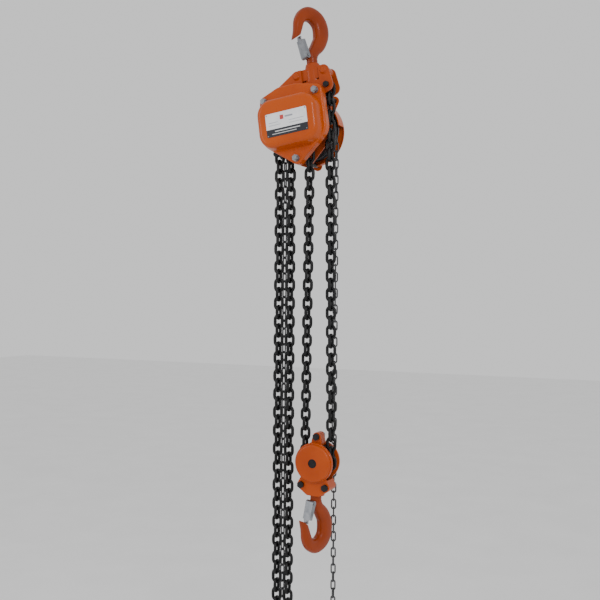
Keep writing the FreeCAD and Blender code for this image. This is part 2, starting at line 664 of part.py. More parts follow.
def latch():
    """The pressed latch: a web with two flanges, bent round the outside of the hook's ear."""
    length = latch_turn()[1]
    half, wall = LATCH_HALF, LATCH_WALL
    outline = [(-0.5, 1.0, 8.0), (length - 4.0, 2.0, 3.5), (length - 3.5, 5.5, 3.5)]
    whole = belt(outline, -half, half)
    inside = box(0.0, length - 5.0, wall - half, half - wall, -20, 7.0)
    ear_room = cyl(6.9, wall - half, half - wall, 0, 0)
    below = box(-20, 0.0, wall - half, half - wall, -20, -1.0)
    nose = box(length - 5.0, length + 5, wall - half, half - wall, -20, 4.0)
    shell = cut_all(whole, [inside, ear_room, below, nose, cyl(LATCH_PIN_R + 0.15, -30, 30, 0, 0)])
    for side in (1, -1):
        corner = box(length - 12, length + 5, 10.0, 20.0, -20, 20)
        corner.rotate(vec(length - 12, half, 0), Z_AXIS, -16.0)
        shell = shell.cut(corner if side > 0 else mirror_y(corner))
    return turned_latch(shell)


def latch_pin():
    px, pz = LATCH_PIVOT
    seat = LATCH_HALF + 0.2
    head = cyl(4.6, seat, seat + 2.0, px, pz)
    return fused([cyl(LATCH_PIN_R, -seat - 1.0, seat + 1.0, px, pz), mirror_y(head), head])


def coil(radius, wire_r, turns, x=0.0, y=0.0, z=0.0):
    """A close-wound spring as a row of rings along Y, centred on a point."""
    rise = 2 * wire_r + 0.12
    first = y - rise * (turns - 1) / 2
    return [Part.makeTorus(radius, wire_r, vec(x, first + rise * i, z), Y_AXIS) for i in range(turns)]


def latch_spring():
    """Torsion spring round the latch pin, one leg along the latch's web and one against the ear's slot."""
    radius = 4.4
    rings = coil(radius, 0.6, 4)
    low, high = rings[0].BoundBox.Center.y, rings[-1].BoundBox.Center.y
    rings[0] = rings[0].fuse(Part.makeCylinder(0.55, 20, vec(radius, low, 0), vec(1, 0, 0.18)))
    rings[-1] = rings[-1].fuse(Part.makeCylinder(0.55, 3.5, vec(radius, high, 0), vec(-0.3, 0, -1)))
    return [turned_latch(r) for r in rings]


def hook_set(prefix, place):
    save(prefix + "_hook", place(hook_body()), unit=False)
    save(prefix + "_swivel_nut", place(swivel_nut()), unit=False)
    save(prefix + "_swivel_bearing", [place(p) for p in swivel_bearing()], unit=False)
    save(prefix + "_latch", place(latch()), unit=False)
    save(prefix + "_latch_pin", place(latch_pin()), unit=False)
    save(prefix + "_latch_spring", [place(r) for r in latch_spring()], unit=False)


def place_top_hook(shape):
    done = shape.copy()
    done.rotate(vec(0, 0, 0), Z_AXIS, TOP_HOOK_TURN)
    return lean_unit(done)


def place_block(shape):
    """Block frame to row frame: the block is drawn round its sheave's axis and hangs slightly askew."""
    done = shape.copy()
    done.rotate(vec(0, 0, 0), Y_AXIS, BLOCK_LEAN_DEG)
    done.translate(vec(BLOCK_X, 0, BLOCK_Z))
    return done


def place_load_hook(shape):
    done = shape.copy()
    done.rotate(vec(0, 0, 0), Y_AXIS, 180.0)
    done.rotate(vec(0, 0, 0), Z_AXIS, 180.0 + LOAD_HOOK_TURN)
    done.translate(vec(0, 0, BLOCK_BOTTOM + SHANK_FACE))
    return place_block(done)


# ---- frame --------------------------------------------------------------------------------------
def side_plate(y0, y1):
    """One of the two plates that everything hangs in, notched at the top for the yoke's bell.

    Below the anchor of the load chain its right edge runs inwards, so that the chain hangs free of it.
    """
    (tl_x, tl_z), (tr_x, tr_z), (low_x, low_z) = STAYS
    rivets = ((YOKE_RIVET_X, YOKE_RIVET_Z), (-YOKE_RIVET_X, YOKE_RIVET_Z))
    lower = [(low_x, low_z, 15.0), (-10.0, -335.0, 42.0), (tr_x, tr_z, 13.0), (tl_x, tl_z, 17.0)]
    lower.append((-107.0, -325.0, 54.0))
    upper = [(tr_x, tr_z, 13.0), (*ANCHOR, 20.0), (*rivets[0], 17.0), (*rivets[1], 16.0), (tl_x, tl_z, 17.0)]
    plate = fused([belt(lower, y0, y1), belt(upper, y0, y1)])
    notch = box(-28.0, 28.0, y0 - 1, y1 + 1, -193.0, -100.0)
    bores = [(STAY_R + PIN_FIT, STAYS), (PIN_R, [ANCHOR]), (TAIL_SCREW_R, TAIL_SCREWS)]
    bores += [(YOKE_RIVET_R, rivets), (GUIDE_PIN_R, (*GUIDE_PINS, STRIPPER))]
    bores.append((SHEAVE_BEARING_R, [(AXIS_X, AXIS_Z)]))
    holes = [cyl(r, y0 - 1, y1 + 1, x, z) for r, places in bores for x, z in places]
    return cut_all(plate, [notch, *holes])


def frame_plates():
    gear_side = side_plate(-PLATE_OUTER, -PLATE_INNER)
    for side in (1, -1):
        gear_side = gear_side.cut(cyl(JOURNAL_R + BEARING_FIT, -40, -20, AXIS_X + side * GEAR_CENTRES))
    save("gear_side_plate", gear_side)
    wheel_side = side_plate(PLATE_INNER, PLATE_OUTER)
    for x, z in PAWL_PIVOTS:
        wheel_side = wheel_side.cut(cyl(PAWL_PIN_R, 20, 40, x, z))
    save("wheel_side_plate", wheel_side)
    bearing = ring(SHEAVE_BEARING_R, SHEAVE_HUB_R + BEARING_FIT, PLATE_INNER, PLATE_OUTER)
    save("sheave_bearings", [mirror_y(bearing), bearing])


def yoke():
    """The forged yoke between the plates' top ends: a bar with a bell in which the hook's shank turns."""
    ends = [(side * (YOKE_RIVET_X - 4.0), YOKE_RIVET_Z, 17.0) for side in (-1, 1)]
    bell_r, shoulder = 27.0, SHANK_FACE - 24.0
    cone = Part.makeCone(bell_r, 20.5, 24.0, vec(0, 0, shoulder), Z_AXIS)
    bell = post(bell_r, -192.0, shoulder).fuse(cone).removeSplitter()
    bell = softened(bell, 3.0, lambda middle: middle.z > shoulder - 1.0)
    solid = fused([belt(ends, -YOKE_HALF, YOKE_HALF), bell])
    solid = solid.cut(post(SWIVEL_BORE_R, -200, SHANK_FACE - 12.0)).cut(post(NECK_BORE_R, -200, -100))
    for side in (1, -1):
        solid = solid.cut(cyl(YOKE_RIVET_R, -40, 40, side * YOKE_RIVET_X, YOKE_RIVET_Z))
    return solid


def domed_rivet(x, z):
    heads = []
    for y, direction in ((PLATE_OUTER, 1), (-PLATE_OUTER, -1)):
        head = Part.makeCone(12.0, 7.5, 5.0, vec(x, y, z), vec(0, direction, 0))
        heads.append(softened(head, 2.0, edge_at(y + direction * 5.0)))
    return fused([cyl(YOKE_RIVET_R, -PLATE_OUTER, PLATE_OUTER, x, z), *heads])


def anchor_pin():
    """The bolt through the load chain's fixed end."""
    x, z = ANCHOR
    flats = 16.0
    head = mirror_y(nut(flats, 1.0, PLATE_OUTER, PLATE_OUTER + 8.0, x, z))
    middle = cyl(1.0, -PLATE_OUTER - 8.0, -PLATE_OUTER, x, z)
    back = nut(flats, 1.0, PLATE_OUTER, PLATE_OUTER + 9.0, x, z)
    return fused([cyl(PIN_R, -PLATE_OUTER, PLATE_OUTER + 11.0, x, z), head.fuse(middle), back])


def slack_end_bracket():
    """Two dark cheeks inside the plates that carry the slack chain's end, with the screws that hold them."""
    x, z = TAIL
    parts = []
    for y0, y1 in ((CHEEK_INNER, PLATE_INNER), (-PLATE_INNER, -CHEEK_INNER)):
        cheek = belt([(x, z, 10.0), (*TAIL_SCREWS[1], 7.0), (*TAIL_SCREWS[0], 7.0)], y0, y1)
        parts.append(cheek.cut(cyl(PIN_R, -40, 40, x, z)))
    for sx, sz in TAIL_SCREWS:
        screw = cyl(TAIL_SCREW_R, PLATE_INNER, PLATE_OUTER, sx, sz)
        parts.append(screw.fuse(cyl(2 * TAIL_SCREW_R, PLATE_OUTER, PLATE_OUTER + 3.0, sx, sz)))
        parts.append(mirror_y(screw))
    return parts


def slack_end_pin():
    x, z = TAIL
    knob = cyl(9.0, PLATE_INNER, PLATE_INNER + 5.0, x, z)
    return fused([cyl(PIN_R, -PLATE_INNER, PLATE_INNER, x, z), mirror_y(knob), knob])


def stays():
    """The stay bolts with sleeves, washers and nuts; the lower one is two studs, to pass the chains."""
    front = COVER_STEP_Y - 15.0
    backs = (WHEEL_COVER_Y, WHEEL_COVER_Y, WHEEL_COVER_BACK)
    upper = [cyl(STAY_R, front, backs[0] + 11.0, x, z) for x, z in STAYS[:2]]
    low_front = cyl(STAY_R, front, -PLATE_INNER, *STAYS[2])
    low_back = cyl(STAY_R, PLATE_INNER, backs[2] + 11.0, *STAYS[2])
    save("stay_bolts", [*upper, low_front, low_back])
    bore = STAY_R + PIN_FIT
    sleeve_ends = (WHEEL_COVER_Y - 3.0, WHEEL_COVER_Y - 3.0, WHEEL_COVER_Y - 18.0)
    sleeves = [ring(8.0, bore, PLATE_OUTER, y, x, z) for (x, z), y in zip(STAYS, sleeve_ends)]
    sleeves.append(ring(9.5, bore, -PLATE_INNER, PLATE_INNER, *STAYS[0]))
    save("stay_sleeves", sleeves)
    seat = -COVER_STEP_Y
    save("front_washers", [ring(10.4, bore, -seat - 2.0, -seat, x, z) for x, z in STAYS])
    nuts = [mirror_y(nut(STAY_NUT_FLATS, STAY_R, seat + 2.0, seat + 12.0, x, z)) for x, z in STAYS]
    nuts += [nut(STAY_NUT_FLATS, STAY_R, y, y + 9.0, x, z) for (x, z), y in zip(STAYS, backs)]
    save("stay_nuts", nuts)


def cover_rim(inset, y0, y1):
    """Rim of the gear cover: a rounded outline that takes in the stay nuts."""
    (tl_x, tl_z), (tr_x, tr_z), (low_x, low_z) = STAYS
    circles = [
        (low_x, low_z, 17.0), (-6.0, -332.0, 49.5), (tr_x, tr_z, 20.0), (-45.0, -219.0, 24.0),
        (-92.0, -240.0, 45.0), (tl_x, tl_z, 18.0), (-108.0, -322.0, 68.0),
    ]
    return belt([(x, z, r - inset) for x, z, r in circles], y0, y1)


def cover_bulge(inset, front_y, base_y):
    """The drafted bulge over the gears, narrower at the front than at its base."""
    def outline(half_width, half_height, r, y):
        x0, x1 = BULGE_X - half_width + r, BULGE_X + half_width - r
        z0, z1 = BULGE_Z - half_height + r, BULGE_Z + half_height - r
        flat = belt([(x0, z0, r), (x1, z0, r), (x1, z1, r), (x0, z1, r)], y, y + 1)
        return min(flat.Faces, key=lambda face: face.CenterOfMass.y).OuterWire

    base = outline(100.0 - inset, 77.0 - inset, 50.0 - inset, base_y)
    front = outline(94.0 - inset, 71.0 - inset, 44.0 - inset, front_y)
    return Part.makeLoft([base, front], True, True)


def gear_cover():
    """Pressed cover over the gears: a stepped rim with the stay nuts on it and a bulge in its middle."""
    wall, step, front = COVER_WALL, COVER_STEP_Y, COVER_FRONT_Y
    outer_rim = softened(cover_rim(0, step, -PLATE_OUTER), 6.0, edge_at(step))
    outer_bulge = softened(cover_bulge(0, front, step + 1), 16.0, edge_at(front))
    inner_rim = softened(cover_rim(wall, step + wall, -PLATE_OUTER + 1), 3.5, edge_at(step + wall))
    inner_bulge = softened(cover_bulge(wall, front + wall, step + wall + 1), 13.0, edge_at(front + wall))
    shell = outer_rim.fuse(outer_bulge).cut(inner_rim).cut(inner_bulge)
    posts = [cyl(10.5, step + 1, -PLATE_OUTER, x, z) for x, z in STAYS]
    holes = [cyl(STAY_R + PIN_FIT, -80, 0, x, z) for x, z in STAYS]
    return cut_all(fused([shell, *posts]), holes)


def bearing_plate():
    """Plate inside the gear cover with the front bearings of the drive shaft and both disc gears."""
    left, right = AXIS_X - GEAR_CENTRES, AXIS_X + GEAR_CENTRES
    plate = belt([(left, AXIS_Z, 16.0), (right, AXIS_Z, 16.0)], *BEARING_PLATE_Y)
    y0, y1 = BEARING_PLATE_Y[0] - 1, BEARING_PLATE_Y[1] + 1
    bores = [cyl(JOURNAL_R + BEARING_FIT, y0, y1, x) for x in (left, right)]
    return cut_all(plate, [*bores, cyl(4.0 + BEARING_FIT, y0, y1)])


def capacity_plate():
    """Thin plate on the cover's front, with a small rivet in each corner."""
    x, z, y = LABEL_X, LABEL_Z, COVER_FRONT_Y
    corner_r, thick = 4.0, 0.8
    half_x, half_z = LABEL_HALF_X - corner_r, LABEL_HALF_Z - corner_r
    corners = [(x + sx * half_x, z + sz * half_z) for sx, sz in ((-1, -1), (1, -1), (1, 1), (-1, 1))]
    save("capacity_plate", belt([(cx, cz, corner_r) for cx, cz in corners], y - thick, y))
    save("capacity_plate_rivets", [cyl(1.8, y - 2 * thick, y - thick, cx, cz) for cx, cz in corners])


def chain_guides():
    for name, (x, z) in zip(("chain_guide_roller_right", "chain_guide_roller_left"), GUIDE_PINS):
        save(name, ring(8.0, GUIDE_PIN_R + 0.08, -22.5, 22.5, x, z))
    reach = PLATE_OUTER + 2.0
    save("chain_guide_pins", [cyl(GUIDE_PIN_R, -reach, reach, x, z) for x, z in GUIDE_PINS])
    x, z = STRIPPER
    bar = box(-9.0, 9.0, -YOKE_HALF, YOKE_HALF, -10.0, 9.0)
    body = bar.fuse(box(-4.0, 4.0, -3.5, 3.5, 0.0, 24.0))
    body.rotate(vec(0, 0, 0), Y_AXIS, LEAN_DEG)
    body.translate(vec(x, 0, z))
    end = cyl(GUIDE_PIN_R, YOKE_HALF - 0.9, reach, x, z)
    save("chain_stripper", fused([body, mirror_y(end), end]))


# ---- load brake and hand wheel ------------------------------------------------------------------
def ratchet():
    """The ratchet disc; each tooth has its steep face on the clockwise side of a notch."""
    step = 360.0 / RATCHET_TEETH
    corners = []
    for i in range(RATCHET_TEETH):
        corners.append(polar(RATCHET_TIP, step * i, AXIS_X, AXIS_Z))
        corners.append(polar(RATCHET_ROOT, step * i + 0.6, AXIS_X, AXIS_Z))
    corners.append(corners[0])
    face = Part.Face(Part.makePolygon([vec(x, RATCHET_Y[0], z) for x, z in corners]))
    return face.extrude(vec(0, RATCHET_Y[1] - RATCHET_Y[0], 0)).cut(cyl(HUB_R + 0.35, 30, 60))


def pawl(notch, pivot):
    """A pawl from its pivot to the tip that rests on the ratchet just behind a tooth's steep face."""
    tip = polar(51.4, notch + 3.2, AXIS_X, AXIS_Z)
    arm = belt([(*tip, 1.5), (*pivot, 8.5)], RATCHET_Y[0] + 0.4, RATCHET_Y[1] - 0.4)
    return arm.cut(cyl(PAWL_PIN_R + 0.08, 30, 60, *pivot))


def load_brake():
    hub = fused([cyl(HUB_R, HUB_DISC_Y[0], BACK_LINING_Y[1] - 0.3), cyl(BRAKE_R, *HUB_DISC_Y)])
    save("disc_hub", hub.cut(cyl(WHEEL_SEAT_R, 30, 60)))
    linings = [ring(BRAKE_R, HUB_R + 1.0, *place) for place in (FRONT_LINING_Y, BACK_LINING_Y)]
    save("friction_discs", linings)
    save("ratchet_disc", ratchet())
    for name, notch, pivot in zip(("pawl_right", "pawl_top"), PAWL_NOTCHES, PAWL_PIVOTS):
        save(name, pawl(notch, pivot))
    head_y = (57.5, 59.0)
    pins = []
    for x, z in PAWL_PIVOTS:
        pins.append(fused([cyl(PAWL_PIN_R, PLATE_INNER, head_y[0], x, z), cyl(6.5, *head_y, x, z)]))
    save("pawl_pins", pins)
    save("pawl_springs", [turn for x, z in PAWL_PIVOTS for turn in coil(5.2, 0.5, 4, x, 53.5, z)])


def hand_wheel():
    """Chain wheel with the brake's pressing face on its front boss."""
    chain = (HAND_WIRE, HAND_PITCH, HAND_WIDTH)
    rim = pocket_wheel(
        *chain, WHEEL_POCKETS, WHEEL_RIM_R, 12.0, WHEEL_Y, 180.0 - LEAN_DEG, AXIS_X, AXIS_Z
    )
    half_web, hub_r, rim_inner = 4.0, 24.0, 70.0
    rim = rim.cut(ring(rim_inner, hub_r, 60.0, WHEEL_Y - half_web))
    rim = rim.cut(ring(rim_inner, hub_r, WHEEL_Y + half_web, 90))
    holes = [cyl(10.0, 60, 90, *polar(48.0, 60.0 * i, AXIS_X, AXIS_Z)) for i in range(6)]
    face_back = 59.0
    face = cyl(BRAKE_R, BACK_LINING_Y[1], face_back)
    cone = Part.makeCone(BRAKE_R, hub_r, 12.0, vec(AXIS_X, face_back, AXIS_Z), Y_AXIS)
    return fused([cut_all(rim, holes), face, cone]).cut(cyl(WHEEL_SEAT_R, 40, 100))


def wheel_nut():
    """Castle nut on the shaft's end."""
    body = nut(26.0, SHAFT_END_R, WHEEL_SEAT_Y[1], WHEEL_SEAT_Y[1] + 12.5, AXIS_X, AXIS_Z)
    slots = []
    for i in range(3):
        slot = box(-20, 20, 97.0, 103.0, -1.8, 1.8)
        slot.rotate(vec(0, 0, 0), Y_AXIS, 30.0 + 60.0 * i)
        slot.translate(vec(AXIS_X, 0, AXIS_Z))
        slots.append(slot)
    return cut_all(body, slots)


def wheel_cover():
    """Pressed cup behind the hand wheel, its wall open below where the hand chain runs out."""
    back = WHEEL_COVER_BACK
    wall = COVER_WALL
    cup = softened(cyl(WHEEL_COVER_R, 56.0, back), 8.0, edge_at(back))
    hollow = softened(cyl(WHEEL_COVER_R - wall, 50.0, back - wall), 5.0, edge_at(back - wall))
    cup = cup.cut(hollow)
    left = box(AXIS_X - 120, AXIS_X - 34, 50.0, back - 8.0, AXIS_Z - 120, AXIS_Z + 22)
    right = box(AXIS_X + 34, AXIS_X + 120, 50.0, back - 8.0, AXIS_Z - 120, AXIS_Z + 2)
    low = box(AXIS_X - 35, AXIS_X + 35, 50.0, back - 25.0, AXIS_Z - 120, AXIS_Z - 60)
    cup = cup.cut(left).cut(right).cut(low)
    lugs = []
    for x, z in STAYS[:2]:
        root = ((x + AXIS_X) / 2, (z + AXIS_Z) / 2, 26.0)
        lug = belt([(x, z, 15.0), root], WHEEL_COVER_Y - wall, WHEEL_COVER_Y)
        lugs.append(lug.cut(cyl(WHEEL_COVER_R - 1, 50, 120)))
    low_lug = cyl(15.0, back - wall, back, *STAYS[2])
    holes = [cyl(STAY_R + PIN_FIT, 50, 130, x, z) for x, z in STAYS]
    return cut_all(fused([cup, *lugs, low_lug]), holes)


# ---- hook block ---------------------------------------------------------------------------------
def block_cheek():
    """The front half of the hook block, in its own frame round the sheave's axis."""
    (_, top_z), (left_x, low_z), (right_x, _) = BLOCK_BOLTS
    top_y, low_y, _ = BLOCK_BOLT_FACES
    disc_r, dome_r, chain_room_r = 60.0, 56.5, 65.5
    neck_top, nut_seat = -67.0, BLOCK_BOTTOM + 12.0
    disc = softened(cyl(disc_r, -BLOCK_WALL_Y, -BLOCK_GAP, 0, 0), 3.0, edge_at(-BLOCK_WALL_Y))
    dome = softened(cyl(dome_r, -BLOCK_FACE_Y, -BLOCK_GAP - 1, 0, 0), 7.0, edge_at(-BLOCK_FACE_Y))
    disc = disc.fuse(dome).cut(ring(50.0, 20.0, -BLOCK_FACE_Y + 6.0, 0, 0, 0))
    foot_outline = [
        (left_x, low_z, 13.5), (-17.0, BLOCK_BOTTOM + 9.0, 9.0), (17.0, BLOCK_BOTTOM + 9.0, 9.0),
        (right_x, low_z, 13.5), (0.0, -30.0, 30.0),
    ]
    foot = softened(belt(foot_outline, -low_y, -BLOCK_JOINT), 2.5, edge_at(-low_y))
    foot = foot.cut(cyl(chain_room_r, -BLOCK_GAP, 1, 0, 0)).cut(cyl(52.0, -30, 1, 0, 0))
    neck = post(26.0, BLOCK_BOTTOM, neck_top).common(box(-40, 40, -40, -BLOCK_JOINT, -120, 0))
    lobe = belt([(0.0, 58.0, 17.0), (0.0, top_z, 13.0)], -top_y, -BLOCK_JOINT)
    lobe = softened(lobe, 2.5, edge_at(-top_y)).cut(cyl(52.0, -60, 1, 0, 0))
    roof = box(-17.0, 17.0, -BLOCK_GAP - 1, -BLOCK_JOINT, 52.5, 62.0).common(cyl(61.0, -60, 1, 0, 0))
    solid = fused([disc, foot, neck, lobe, roof])
    nut_room = post(SWIVEL_BORE_R, nut_seat, 0.0).common(box(-30, 30, -BLOCK_GAP + 1, 1, -120, -60))
    holes = [cyl(BLOCK_BOLT_R + PIN_FIT, -60, 1, x, z) for x, z in BLOCK_BOLTS]
    collar_room = cyl(COLLAR_R + 0.3, -60, -COLLAR_SEAT_Y, 0, 0)
    axle_hole = cyl(AXLE_R, -60, 1, 0, 0)
    return cut_all(solid, [nut_room, post(NECK_BORE_R, -120, -60), *holes, collar_room, axle_hole])


def idler():
    chain = (LOAD_WIRE, LOAD_PITCH, LOAD_WIDTH)
    wheel = pocket_wheel(*chain, IDLER_POCKETS, 50.0, 22.8, 0.0, -180.0 / IDLER_POCKETS, 0, 0)
    wheel.rotate(vec(0, 0, 0), Y_AXIS, -BLOCK_LEAN_DEG)
    return wheel.cut(cyl(BUSH_R, -30, 30, 0, 0))


def hook_block():
    cheek = block_cheek()
    save("block_cheek_front", place_block(cheek), unit=False)
    save("block_cheek_rear", place_block(mirror_y(cheek)), unit=False)
    bolts, nuts = [], []
    for (x, z), face in zip(BLOCK_BOLTS, BLOCK_BOLT_FACES):
        shank = cyl(BLOCK_BOLT_R, -face, face + 12.0, x, z)
        head = mirror_y(nut(BLOCK_NUT_FLATS, 0.5, face, face + 8.0, x, z))
        bolts.append(place_block(fused([shank, head, cyl(1.0, -face - 8.0, -face, x, z)])))
        nuts.append(place_block(nut(BLOCK_NUT_FLATS, BLOCK_BOLT_R, face, face + 10.0, x, z)))
    save("block_bolts", bolts, unit=False)
    save("block_nuts", nuts, unit=False)
    save("idler_sheave", place_block(idler()), unit=False)
    save("idler_bush", place_block(ring(BUSH_R, AXLE_R + BEARING_FIT, -23.4, 23.4, 0, 0)), unit=False)
    end = BLOCK_FACE_Y - 0.6
    axle = softened(cyl(AXLE_R, -end, end, 0, 0), 1.2, lambda middle: abs(middle.y) > end - 0.5)
    collar = cyl(COLLAR_R, COLLAR_SEAT_Y, COLLAR_SEAT_Y + 1.6, 0, 0)
    save("idler_axle", place_block(fused([axle, mirror_y(collar), collar])), unit=False)


os.makedirs("parts", exist_ok=True)
frame_plates()
save("yoke", yoke())
save("yoke_rivets", [domed_rivet(s * YOKE_RIVET_X, YOKE_RIVET_Z) for s in (-1, 1)])
save("load_chain_anchor_pin", anchor_pin())
save("slack_end_anchor", [*slack_end_bracket(), slack_end_pin()])
stays()
save("gear_cover", gear_cover())
save("gear_bearing_plate", bearing_plate())
capacity_plate()
chain_guides()
gear_train()
load_brake()
save("hand_wheel", hand_wheel())
save("hand_wheel_nut", wheel_nut())
save("hand_wheel_cover", wheel_cover())
hook_set("top", place_top_hook)
hook_set("load", place_load_hook)
hook_block()
load_chain()
hand_chain()
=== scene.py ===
"""Looks for the hand chain hoist: chains with real link meshes, paint, steel, a plate, light and camera."""

import json
import math

import bpy
import numpy as np
from mathutils import Matrix, Vector


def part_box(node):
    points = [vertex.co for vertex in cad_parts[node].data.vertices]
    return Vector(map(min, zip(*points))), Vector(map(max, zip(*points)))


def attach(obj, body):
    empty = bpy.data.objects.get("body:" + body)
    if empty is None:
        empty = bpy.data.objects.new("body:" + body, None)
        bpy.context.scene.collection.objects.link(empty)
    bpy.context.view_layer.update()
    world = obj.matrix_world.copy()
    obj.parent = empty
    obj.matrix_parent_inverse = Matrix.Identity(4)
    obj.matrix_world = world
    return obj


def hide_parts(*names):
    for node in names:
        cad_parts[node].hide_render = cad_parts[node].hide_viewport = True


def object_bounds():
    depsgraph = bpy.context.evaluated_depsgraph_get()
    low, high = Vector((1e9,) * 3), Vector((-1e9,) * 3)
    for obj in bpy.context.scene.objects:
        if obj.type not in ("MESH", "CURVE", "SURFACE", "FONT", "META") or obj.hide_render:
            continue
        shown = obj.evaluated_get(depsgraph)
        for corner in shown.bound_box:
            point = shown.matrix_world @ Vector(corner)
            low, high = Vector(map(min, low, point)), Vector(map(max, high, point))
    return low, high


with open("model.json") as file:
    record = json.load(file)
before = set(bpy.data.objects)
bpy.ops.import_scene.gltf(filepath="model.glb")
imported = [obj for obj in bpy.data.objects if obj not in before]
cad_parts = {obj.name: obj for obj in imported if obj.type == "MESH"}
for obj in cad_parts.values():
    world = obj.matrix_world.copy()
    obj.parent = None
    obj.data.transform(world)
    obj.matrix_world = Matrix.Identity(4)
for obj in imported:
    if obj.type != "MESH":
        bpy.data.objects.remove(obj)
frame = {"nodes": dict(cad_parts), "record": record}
cad_box = [list(corner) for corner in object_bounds()]
RECORD = frame["record"]
LEAN_DEG = 7.5  # lean of the hoist's upper unit, and of the plate on its cover


# ---- chains: every link of the CAD chains is found and drawn again as a welded link ----------------
def labelled(obj):
    """A CAD node's points, and for each point the number of the closed solid that it belongs to."""
    mesh = obj.data
    co = np.empty(len(mesh.vertices) * 3)
    mesh.vertices.foreach_get("co", co)
    co = co.reshape(-1, 3)
    ends = np.empty(len(mesh.edges) * 2, dtype=np.int64)
    mesh.edges.foreach_get("vertices", ends)
    ends = ends.reshape(-1, 2)
    _, same = np.unique(np.round(co, 5), axis=0, return_inverse=True)
    same = same.reshape(-1)
    a, b = same[ends[:, 0]], same[ends[:, 1]]
    label = np.arange(same.max() + 1)
    while True:
        low = np.minimum(label[a], label[b])
        new = label.copy()
        np.minimum.at(new, a, low)
        np.minimum.at(new, b, low)
        new = new[new]
        if (new == label).all():
            break
        label = new
    return co, label[same]


def islands(obj):
    """The separate closed solids of a CAD node, as arrays of their points."""
    co, groups = labelled(obj)
    order = np.argsort(groups, kind="stable")
    cuts = np.flatnonzero(np.diff(groups[order])) + 1
    return [co[part] for part in np.split(order, cuts)]


def link_places(node):
    """Centre and axes (along, across, normal) of each link of a chain node."""
    places = []
    for points in islands(frame["nodes"][node]):
        centre = (points.min(axis=0) + points.max(axis=0)) / 2
        _, _, axes = np.linalg.svd(points - points.mean(axis=0), full_matrices=False)
        along, across = axes[0], axes[1]
        if along[2] > 0 or (abs(along[2]) < 1e-6 and along[0] > 0):
            along = -along
        places.append((centre, np.array([along, across, np.cross(along, across)])))
    return sorted(places, key=lambda p: -p[0][2])


def link_template(wire, pitch, width, around=44, section=14):
    """One welded link: points and quads. The weld is a soft swelling on the middle of one leg."""
    weld_length, weld_swell = 0.22 * wire, 0.07
    bend = (width - wire) / 2
    straight = (pitch + wire) - 2 * bend
    loop = 2 * straight + 2 * math.pi * bend
    verts = []
    for i in range(around):
        s = loop * i / around
        if s < straight:
            centre, out = (s - straight / 2, -bend), (0.0, -1.0)
        elif s < straight + math.pi * bend:
            a = -math.pi / 2 + (s - straight) / bend
            out = (math.cos(a), math.sin(a))
            centre = (straight / 2 + bend * out[0], bend * out[1])
        elif s < 2 * straight + math.pi * bend:
            centre, out = (straight / 2 - (s - straight - math.pi * bend), bend), (0.0, 1.0)
        else:
            a = math.pi / 2 + (s - 2 * straight - math.pi * bend) / bend
            out = (math.cos(a), math.sin(a))
            centre = (-straight / 2 + bend * out[0], bend * out[1])
        weld = math.exp(-((s - straight / 2) / weld_length) ** 2)
        r = wire / 2 * (1 + weld_swell * weld)
        for k in range(section):
            t = 2 * math.pi * k / section
            u, v = r * math.cos(t), r * math.sin(t)
            verts.append((centre[0] + out[0] * u, centre[1] + out[1] * u, v))
    faces = []
    for i in range(around):
        j = (i + 1) % around
        for k in range(section):
            m = (k + 1) % section
            faces.append((i * section + k, j * section + k, j * section + m, i * section + m))
    return np.array(verts), np.array(faces)


def chain_piece(name, places, template, body):
    verts, faces = template
    all_verts = np.concatenate([centre + verts @ axes for centre, axes in places])
    all_faces = np.concatenate([faces + len(verts) * i for i in range(len(places))])
    mesh = bpy.data.meshes.new(name)
    mesh.from_pydata(all_verts.tolist(), [], all_faces.tolist())
    mesh.polygons.foreach_set("use_smooth", [True] * len(mesh.polygons))
    obj = bpy.data.objects.new(name, mesh)
    bpy.context.scene.collection.objects.link(obj)
    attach(obj, body)
    return obj


# wire, pitch and width of a link; the second load link is a little thinner, to lie inside the first
load_link = link_template(0.0097, 0.028, 0.034)
inner_link = link_template(0.0093, 0.028, 0.0336, around=36, section=12)
hand_link = link_template(0.0047, 0.025, 0.017, around=36, section=12)
OVERLAP = 0.64  # share of a moving run's length that each of its two pieces covers


def split_fall(node, top_share, upper_body, lower_body):
    """A hanging run as two overlapping pieces, so that it still looks whole when its lower end moves."""
    places = link_places(node)
    z_top, z_low = places[0][0][2], places[-1][0][2]
    reach = (z_top - z_low) * top_share
    upper = [p for p in places if p[0][2] > z_top - reach]
    lower = [p for p in places if p[0][2] < z_low + reach]
    above = chain_piece(node + "_upper", upper, load_link, upper_body)
    below = chain_piece(node + "_lower", lower, inner_link, lower_body)
    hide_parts(node)
    return above, below


chain_objects = []
for node in ("load_chain_right_fall", "load_chain_left_fall"):
    chain_objects += split_fall(node, OVERLAP, "frame", "hook_block")
chain_objects += split_fall("load_chain_slack", OVERLAP, "frame", "slack_loop")
BENDS = {"load_chain_under_idler": "hook_block", "load_chain_slack_bend": "slack_loop"}
for node, body in BENDS.items():
    piece = chain_piece(node + "_links", link_places(node), load_link, body)
    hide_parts(node)
    chain_objects.append(piece)
SHEAVE_X = sum(corner[0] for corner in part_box("hand_wheel")) / 2


